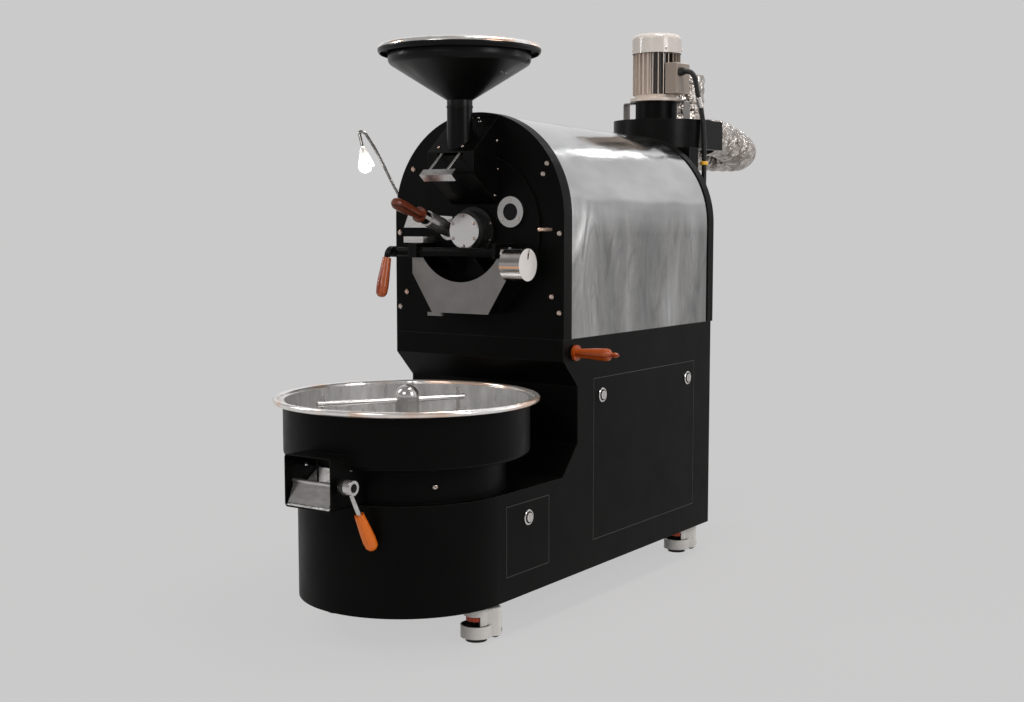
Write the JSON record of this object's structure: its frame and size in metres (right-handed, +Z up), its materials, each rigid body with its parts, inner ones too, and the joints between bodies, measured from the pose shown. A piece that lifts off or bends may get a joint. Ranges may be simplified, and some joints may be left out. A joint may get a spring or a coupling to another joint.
{
  "type": "electric coffee roasting machine",
  "caption": "Electric drum roaster for coffee beans with a stainless barrel, hopper, stirred cooling tray, discharge chute and exhaust blower on a black cabinet.",
  "frame": {"origin": "on the floor, below the middle of the machine's overall outline", "axes": "+X to the machine's right as its user faces it, +Y to its back, +Z up; the drum's axis runs along Y in the plane X = 0"},
  "size_m": [0.7692, 2.043, 1.5265],
  "materials": {
    "powder_black": "satin black powder coat",
    "stainless": "brushed stainless sheet",
    "polished": "polished steel",
    "raw_steel": "raw grey steel sheet",
    "drum_steel": "dull carbon steel",
    "cast": "painted casting",
    "wood_orange": "oiled red-brown wood",
    "wood_dark": "dark red-brown wood",
    "motor_cream": "off-white motor enamel",
    "foil": "crumpled aluminium foil",
    "cable_black": "black ribbed conduit",
    "glass": "clear sight glass",
    "heater": "heat-tinted sheath",
    "caster_white": "white moulded nylon",
    "caster_wheel": "black nylon tread",
    "caster_orange": "orange thumbwheel on a black pad",
    "lamp_black": "black enamel with a lit lens"
  },
  "bodies": {
    "frame": {"cabinet_wrap": "powder_black", "floor_and_back": "powder_black", "tray_deck": "powder_black", "front_arch": "powder_black", "rear_arch": "powder_black", "shroud": "stainless", "face_plate": "powder_black", "drum_casing": "drum_steel", "heater_elements": "heater", "bearing_housings": "cast", "bearing_cover": "polished", "tray_pan": "powder_black", "tray_liner": "stainless", "tray_screen": "stainless", "gearmotors": "cast", "hopper": "powder_black", "feed_box": "powder_black", "discharge_chute": "powder_black", "chute_apron": "raw_steel", "sight_ring": "stainless", "sight_glass": "glass", "tryer_guide": "stainless", "work_lamp": "lamp_black", "blower_housing": "powder_black", "blower_stand": "powder_black", "fan_motor": "motor_cream", "exhaust_duct": "foil", "motor_cable": "cable_black", "cooling_fan": "powder_black", "button_bolts": "polished"},
    "drum": {"drum": "drum_steel"},
    "stirrer": {"stirrer": "stainless"},
    "tray_gate": {"tray_gate": "stainless", "gate_handle": "wood_orange"},
    "discharge_door": {"discharge_door": "powder_black", "counterweight": "polished", "door_handle": "wood_orange"},
    "feed_gate": {"feed_gate": "stainless"},
    "tryer_collar": {"tryer_collar": "polished"},
    "tryer": {"tryer_scoop": "stainless", "tryer_handle": "wood_dark"},
    "damper": {"damper_handle": "wood_orange"},
    "side_panel": {"side_panel": "powder_black"},
    "base_panel": {"base_panel": "powder_black"},
    "side_latch_front": {"side_latch_front": "polished"},
    "side_latch_rear": {"side_latch_rear": "polished"},
    "base_latch": {"base_latch": "polished"},
    "impeller": {"blower_impeller": "drum_steel"},
    "caster_front_left": {"caster_front_left_housing": "caster_white"},
    "caster_front_left_wheel": {"caster_front_left_wheel": "caster_wheel"},
    "caster_front_left_foot": {"caster_front_left_foot": "caster_orange"},
    "caster_front_right": {"caster_front_right_housing": "caster_white"},
    "caster_front_right_wheel": {"caster_front_right_wheel": "caster_wheel"},
    "caster_front_right_foot": {"caster_front_right_foot": "caster_orange"},
    "caster_rear_left": {"caster_rear_left_housing": "caster_white"},
    "caster_rear_left_wheel": {"caster_rear_left_wheel": "caster_wheel"},
    "caster_rear_left_foot": {"caster_rear_left_foot": "caster_orange"},
    "caster_rear_right": {"caster_rear_right_housing": "caster_white"},
    "caster_rear_right_wheel": {"caster_rear_right_wheel": "caster_wheel"},
    "caster_rear_right_foot": {"caster_rear_right_foot": "caster_orange"}
  },
  "joints": [
    {"name": "drum_spin", "type": "hinge", "parent": "frame", "child": "drum", "pos_m": [0, -0.388, 0.94], "axis": [0, 1, 0], "continuous": true},
    {"name": "stirrer_spin", "type": "hinge", "parent": "frame", "child": "stirrer", "pos_m": [0, -0.672, 0.4], "axis": [0, 0, 1], "continuous": true},
    {"name": "tray_gate_hinge", "type": "hinge", "parent": "frame", "child": "tray_gate", "pos_m": [0, -0.996, 0.393], "axis": [-1, 0, 0], "range_deg": [0, 90]},
    {"name": "discharge_door_hinge", "type": "hinge", "parent": "frame", "child": "discharge_door", "pos_m": [0, -0.459, 0.887], "axis": [-1, 0, 0], "range_deg": [0, 30]},
    {"name": "feed_gate_slide", "type": "slide", "parent": "frame", "child": "feed_gate", "axis": [0, -0.7671, -0.6416], "range_m": [0, 0.06]},
    {"name": "tryer_slide", "type": "slide", "parent": "frame", "child": "tryer_collar", "axis": [0, -0.9578, 0.2874], "range_m": [0, 0.14]},
    {"name": "tryer_twist", "type": "hinge", "parent": "tryer_collar", "child": "tryer", "pos_m": [-0.08, -0.396, 0.9434], "axis": [0, -0.9578, 0.2874], "range_deg": [0, 180]},
    {"name": "damper_slide", "type": "slide", "parent": "frame", "child": "damper", "axis": [1, 0, 0], "range_m": [0, 0.06]},
    {"name": "side_panel_lift_off", "type": "slide", "parent": "frame", "child": "side_panel", "axis": [1, 0, 0], "range_m": [0, 0.25]},
    {"name": "base_panel_lift_off", "type": "slide", "parent": "frame", "child": "base_panel", "axis": [1, 0, 0], "range_m": [0, 0.25]},
    {"name": "side_latch_front_turn", "type": "hinge", "parent": "side_panel", "child": "side_latch_front", "pos_m": [0.26, -0.204, 0.524], "axis": [-1, 0, 0], "range_deg": [0, 90]},
    {"name": "side_latch_rear_turn", "type": "hinge", "parent": "side_panel", "child": "side_latch_rear", "pos_m": [0.26, 0.268, 0.524], "axis": [1, 0, 0], "range_deg": [0, 90]},
    {"name": "base_latch_turn", "type": "hinge", "parent": "base_panel", "child": "base_latch", "pos_m": [0.26, -0.544, 0.268], "axis": [1, 0, 0], "range_deg": [0, 90]},
    {"name": "impeller_spin", "type": "hinge", "parent": "frame", "child": "impeller", "pos_m": [0, 0.552, 1.25], "axis": [0, 0, 1], "continuous": true},
    {"name": "caster_front_left_swivel", "type": "hinge", "parent": "frame", "child": "caster_front_left", "pos_m": [-0.212, -0.688, 0.06], "axis": [0, 0, 1], "continuous": true},
    {"name": "caster_front_left_roll", "type": "hinge", "parent": "caster_front_left", "child": "caster_front_left_wheel", "pos_m": [-0.18705, -0.65237, 0.0205], "axis": [-0.8192, 0.5736, 0], "continuous": true},
    {"name": "caster_front_left_foot_screw", "type": "slide", "parent": "caster_front_left", "child": "caster_front_left_foot", "axis": [0, 0, 1], "range_m": [0, 0.008]},
    {"name": "caster_front_right_swivel", "type": "hinge", "parent": "frame", "child": "caster_front_right", "pos_m": [0.212, -0.688, 0.06], "axis": [0, 0, 1], "continuous": true},
    {"name": "caster_front_right_roll", "type": "hinge", "parent": "caster_front_right", "child": "caster_front_right_wheel", "pos_m": [0.23695, -0.65237, 0.0205], "axis": [-0.8192, 0.5736, 0], "continuous": true},
    {"name": "caster_front_right_foot_screw", "type": "slide", "parent": "caster_front_right", "child": "caster_front_right_foot", "axis": [0, 0, 1], "range_m": [0, 0.008]},
    {"name": "caster_rear_left_swivel", "type": "hinge", "parent": "frame", "child": "caster_rear_left", "pos_m": [-0.19, 0.35, 0.06], "axis": [0, 0, 1], "continuous": true},
    {"name": "caster_rear_left_roll", "type": "hinge", "parent": "caster_rear_left", "child": "caster_rear_left_wheel", "pos_m": [-0.16505, 0.38563, 0.0205], "axis": [-0.8192, 0.5736, 0], "continuous": true},
    {"name": "caster_rear_left_foot_screw", "type": "slide", "parent": "caster_rear_left", "child": "caster_rear_left_foot", "axis": [0, 0, 1], "range_m": [0, 0.008]},
    {"name": "caster_rear_right_swivel", "type": "hinge", "parent": "frame", "child": "caster_rear_right", "pos_m": [0.19, 0.35, 0.06], "axis": [0, 0, 1], "continuous": true},
    {"name": "caster_rear_right_roll", "type": "hinge", "parent": "caster_rear_right", "child": "caster_rear_right_wheel", "pos_m": [0.21495, 0.38563, 0.0205], "axis": [-0.8192, 0.5736, 0], "continuous": true},
    {"name": "caster_rear_right_foot_screw", "type": "slide", "parent": "caster_rear_right", "child": "caster_rear_right_foot", "axis": [0, 0, 1], "range_m": [0, 0.008]}
  ]
}
